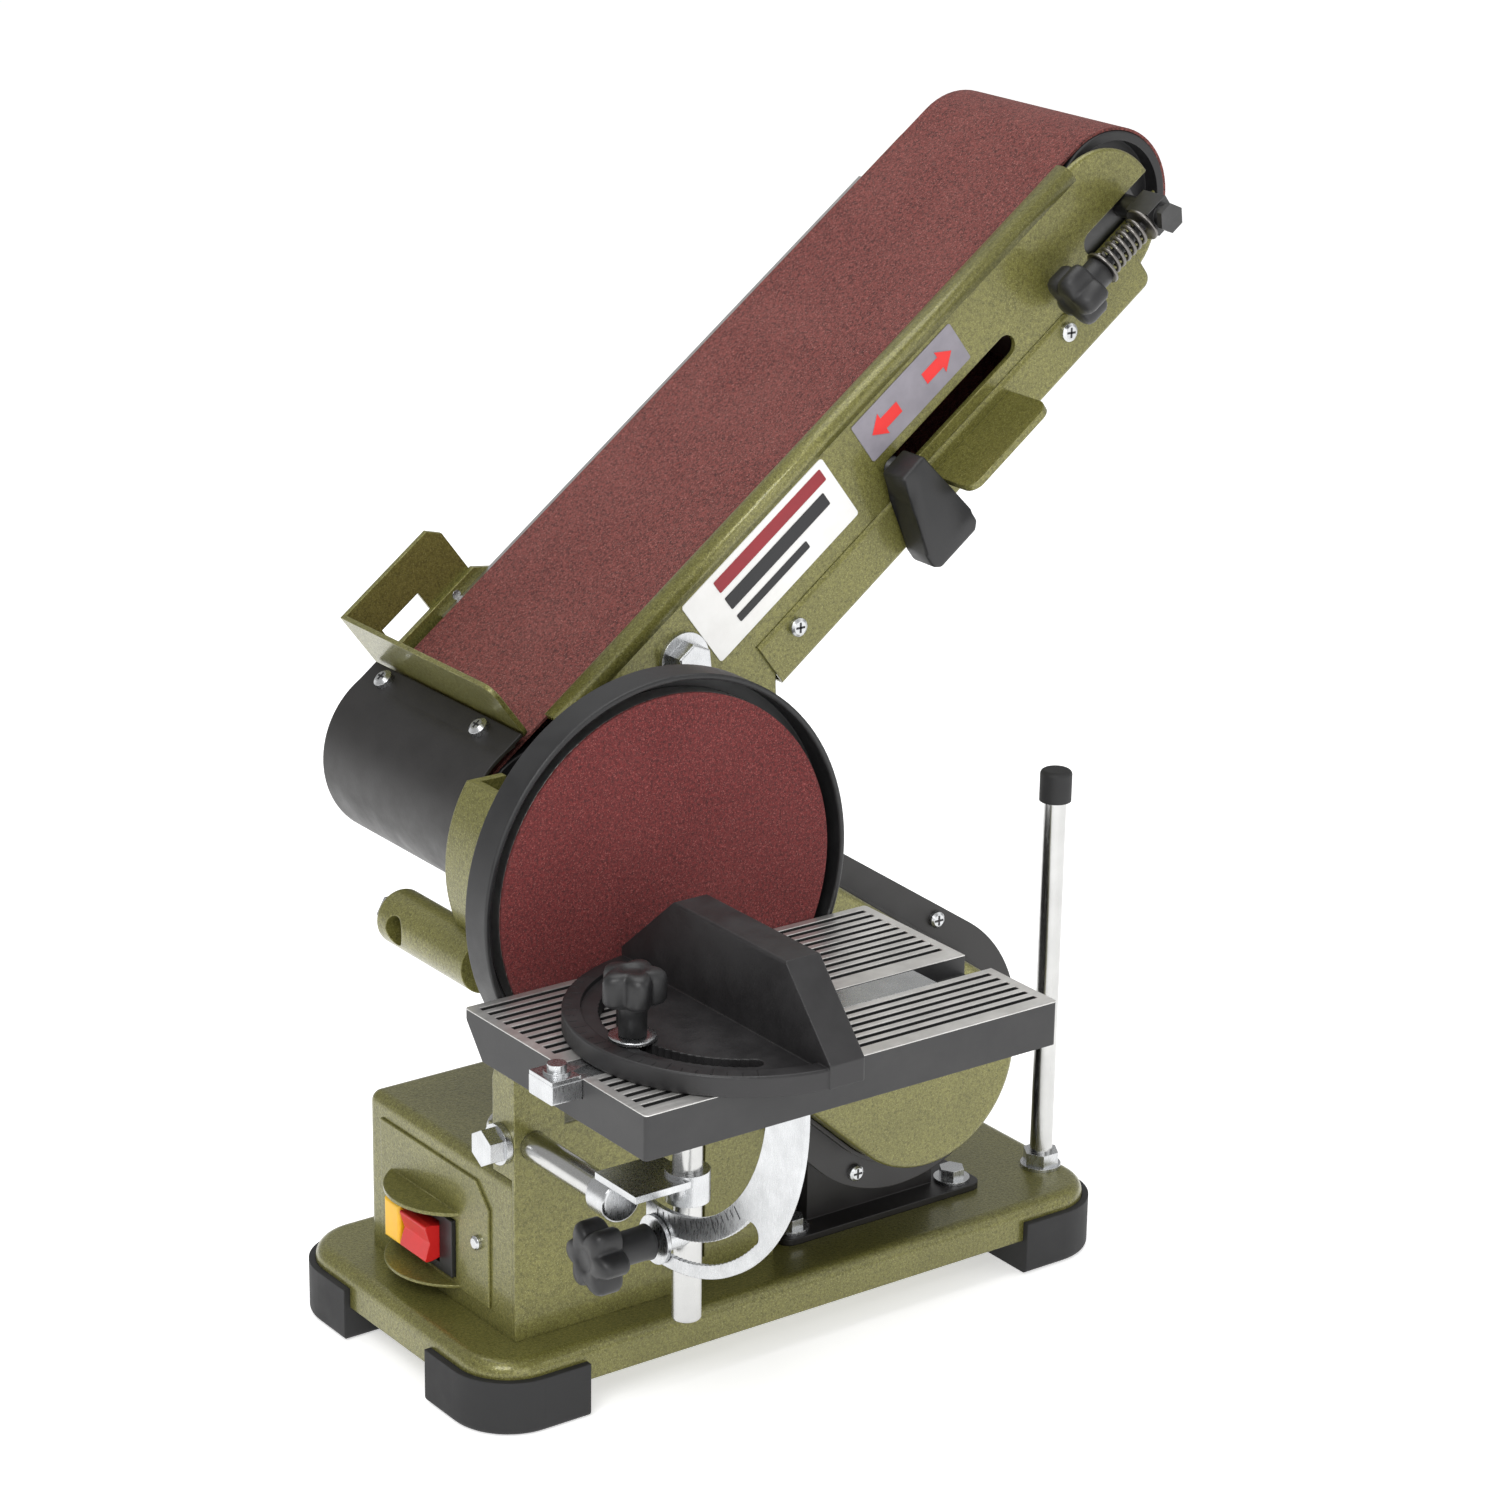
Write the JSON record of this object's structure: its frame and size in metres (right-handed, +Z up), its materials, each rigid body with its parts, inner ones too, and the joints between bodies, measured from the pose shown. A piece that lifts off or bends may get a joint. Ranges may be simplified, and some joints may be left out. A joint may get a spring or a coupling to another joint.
{
  "type": "belt disc sander",
  "caption": "Bench sander with a tilting belt arm above a sanding disc, a slotted tilting table with mitre gauge, a motor and drive cover, a switch box and a rubber-footed base.",
  "frame": {"origin": "on the bench, under the middle of the whole machine", "axes": "+Z up; +X along the base, the way the belt arm rises; the disc and table face -Y"},
  "size_m": [0.4253, 0.343, 0.4892],
  "materials": {
    "green": "hammertone enamel, olive green",
    "black_paint": "textured black paint",
    "black_cast": "semi-gloss black on casting",
    "zinc": "zinc plate",
    "steel": "plain steel",
    "blackened": "blackened steel",
    "aluminium": "machined",
    "table_metal": "ground lands, black between",
    "abrasive": "coated aluminium-oxide grain",
    "rubber": "matt",
    "drive_rubber": "moulded",
    "black_plastic": "moulded",
    "yellow": "moulded",
    "red": "moulded",
    "plate_white": "printed plate",
    "plate_grey": "printed label"
  },
  "bodies": {
    "machine": {"base_plate": "green", "rubber_feet": "rubber", "switch_box": "green", "switch_panel": "green", "cover_screws": "zinc", "switch_body": "black_plastic", "cord_gland": "black_plastic", "support_plate": "green", "rod_clamp_bolt": "zinc", "spindle_frame": "green", "base_bolts": "zinc", "rod_socket": "green", "spindle_bearings": "steel", "drive_belt": "drive_rubber", "motor_housing": "black_paint", "belt_cover": "green", "belt_backplate": "black_paint", "disc_guard": "black_plastic", "support_post": "zinc", "post_cap": "rubber"},
    "spindle_group": {"spindle": "steel", "disc_plate": "aluminium", "abrasive_disc": "abrasive", "driven_pulley": "black_plastic", "drive_drum": "black_plastic"},
    "motor_rotor": {"motor_shaft": "steel", "motor_pulley": "steel"},
    "belt_arm": {"arm_near_plate": "green", "arm_far_plate": "green", "platen": "steel", "arm_bolt": "zinc", "arm_lower_cover": "green", "arm_screws": "zinc", "arm_rest_tab": "green", "name_plate": "plate_white", "arrow_label": "plate_grey", "sanding_belt": "abrasive", "drum_cover": "black_paint", "work_stop": "green"},
    "idler_carriage": {"idler_yoke": "blackened", "idler_axle": "blackened", "tracking_spring": "steel"},
    "idler": {"idler_drum": "black_plastic"},
    "tracking": {"tracking_knob": "black_plastic"},
    "tension": {"tension_lever": "black_plastic"},
    "table_carriage": {"table_rod": "zinc", "rod_link": "zinc", "pivot_post": "zinc", "pivot_washers": "zinc", "tilt_pin": "zinc"},
    "table": {"table_top": "table_metal", "quadrant": "zinc", "quadrant_screws": "zinc"},
    "table_lock": {"table_lock_knob": "black_plastic"},
    "mitre_slide_bar": {"mitre_bar": "zinc", "mitre_pointer": "zinc"},
    "mitre_gauge": {"mitre_head": "black_cast"},
    "mitre_lock": {"mitre_knob": "black_plastic"},
    "safety_key": {"start_key": "yellow"},
    "switch_paddle": {"stop_paddle": "red"}
  },
  "joints": [
    {"name": "spindle_spin", "type": "hinge", "parent": "machine", "child": "spindle_group", "pos_m": [-0.1057, -0.03145, 0.24], "axis": [0, 1, 0], "continuous": true},
    {"name": "motor_spin", "type": "hinge", "parent": "machine", "child": "motor_rotor", "pos_m": [0.0543, -0.03145, 0.112], "axis": [0, 1, 0], "continuous": true},
    {"name": "arm_tilt", "type": "hinge", "parent": "machine", "child": "belt_arm", "pos_m": [-0.1057, -0.03145, 0.24], "axis": [0, -1, 0], "range_deg": [-37.2, 52.8]},
    {"name": "idler_slide", "type": "slide", "parent": "belt_arm", "child": "idler_carriage", "axis": [0.7965, 0, 0.6046], "range_m": [-0.012, 0]},
    {"name": "idler_spin", "type": "hinge", "parent": "idler_carriage", "child": "idler", "pos_m": [0.18115, -0.03145, 0.45773], "axis": [0, 1, 0], "continuous": true},
    {"name": "tracking_turn", "type": "hinge", "parent": "idler_carriage", "child": "tracking", "pos_m": [0.14929, 0.03055, 0.43355], "axis": [0.7965, 0, 0.6046], "range_deg": [-180, 180]},
    {"name": "tension_turn", "type": "hinge", "parent": "belt_arm", "child": "tension", "pos_m": [0.0602, -0.03145, 0.36216], "axis": [0, 1, 0], "range_deg": [0, 80]},
    {"name": "table_slide", "type": "slide", "parent": "machine", "child": "table_carriage", "axis": [0, 1, 0], "range_m": [-0.015, 0]},
    {"name": "table_tilt", "type": "hinge", "parent": "table_carriage", "child": "table", "pos_m": [-0.1087, -0.05045, 0.186], "axis": [1, 0, 0], "range_deg": [0, 45]},
    {"name": "table_lock_turn", "type": "hinge", "parent": "table_carriage", "child": "table_lock", "pos_m": [-0.1357, -0.05045, 0.102], "axis": [1, 0, 0], "range_deg": [-180, 180]},
    {"name": "mitre_slide", "type": "slide", "parent": "table", "child": "mitre_slide_bar", "axis": [1, 0, 0], "range_m": [-0.06, 0.09]},
    {"name": "mitre_turn", "type": "hinge", "parent": "mitre_slide_bar", "child": "mitre_gauge", "pos_m": [-0.1247, -0.10545, 0.212], "axis": [0, 0, 1], "range_deg": [-60, 60]},
    {"name": "mitre_lock_turn", "type": "hinge", "parent": "mitre_slide_bar", "child": "mitre_lock", "pos_m": [-0.1737, -0.10545, 0.22], "axis": [0, 0, 1], "range_deg": [-180, 180]},
    {"name": "start_key_slide", "type": "slide", "parent": "machine", "child": "safety_key", "axis": [-1, 0, 0], "range_m": [0, 0.008]},
    {"name": "stop_rock", "type": "hinge", "parent": "machine", "child": "switch_paddle", "pos_m": [-0.1377, 0.08955, 0.056], "axis": [0, 1, 0], "range_deg": [-7, 7]}
  ],
  "couplings": [
    {"joint": "motor_spin", "follows": "spindle_spin", "ratio": 1.5},
    {"joint": "idler_spin", "follows": "spindle_spin", "ratio": 1},
    {"joint": "tension_turn", "follows": "idler_slide", "rad_per_m": -116.36}
  ]
}
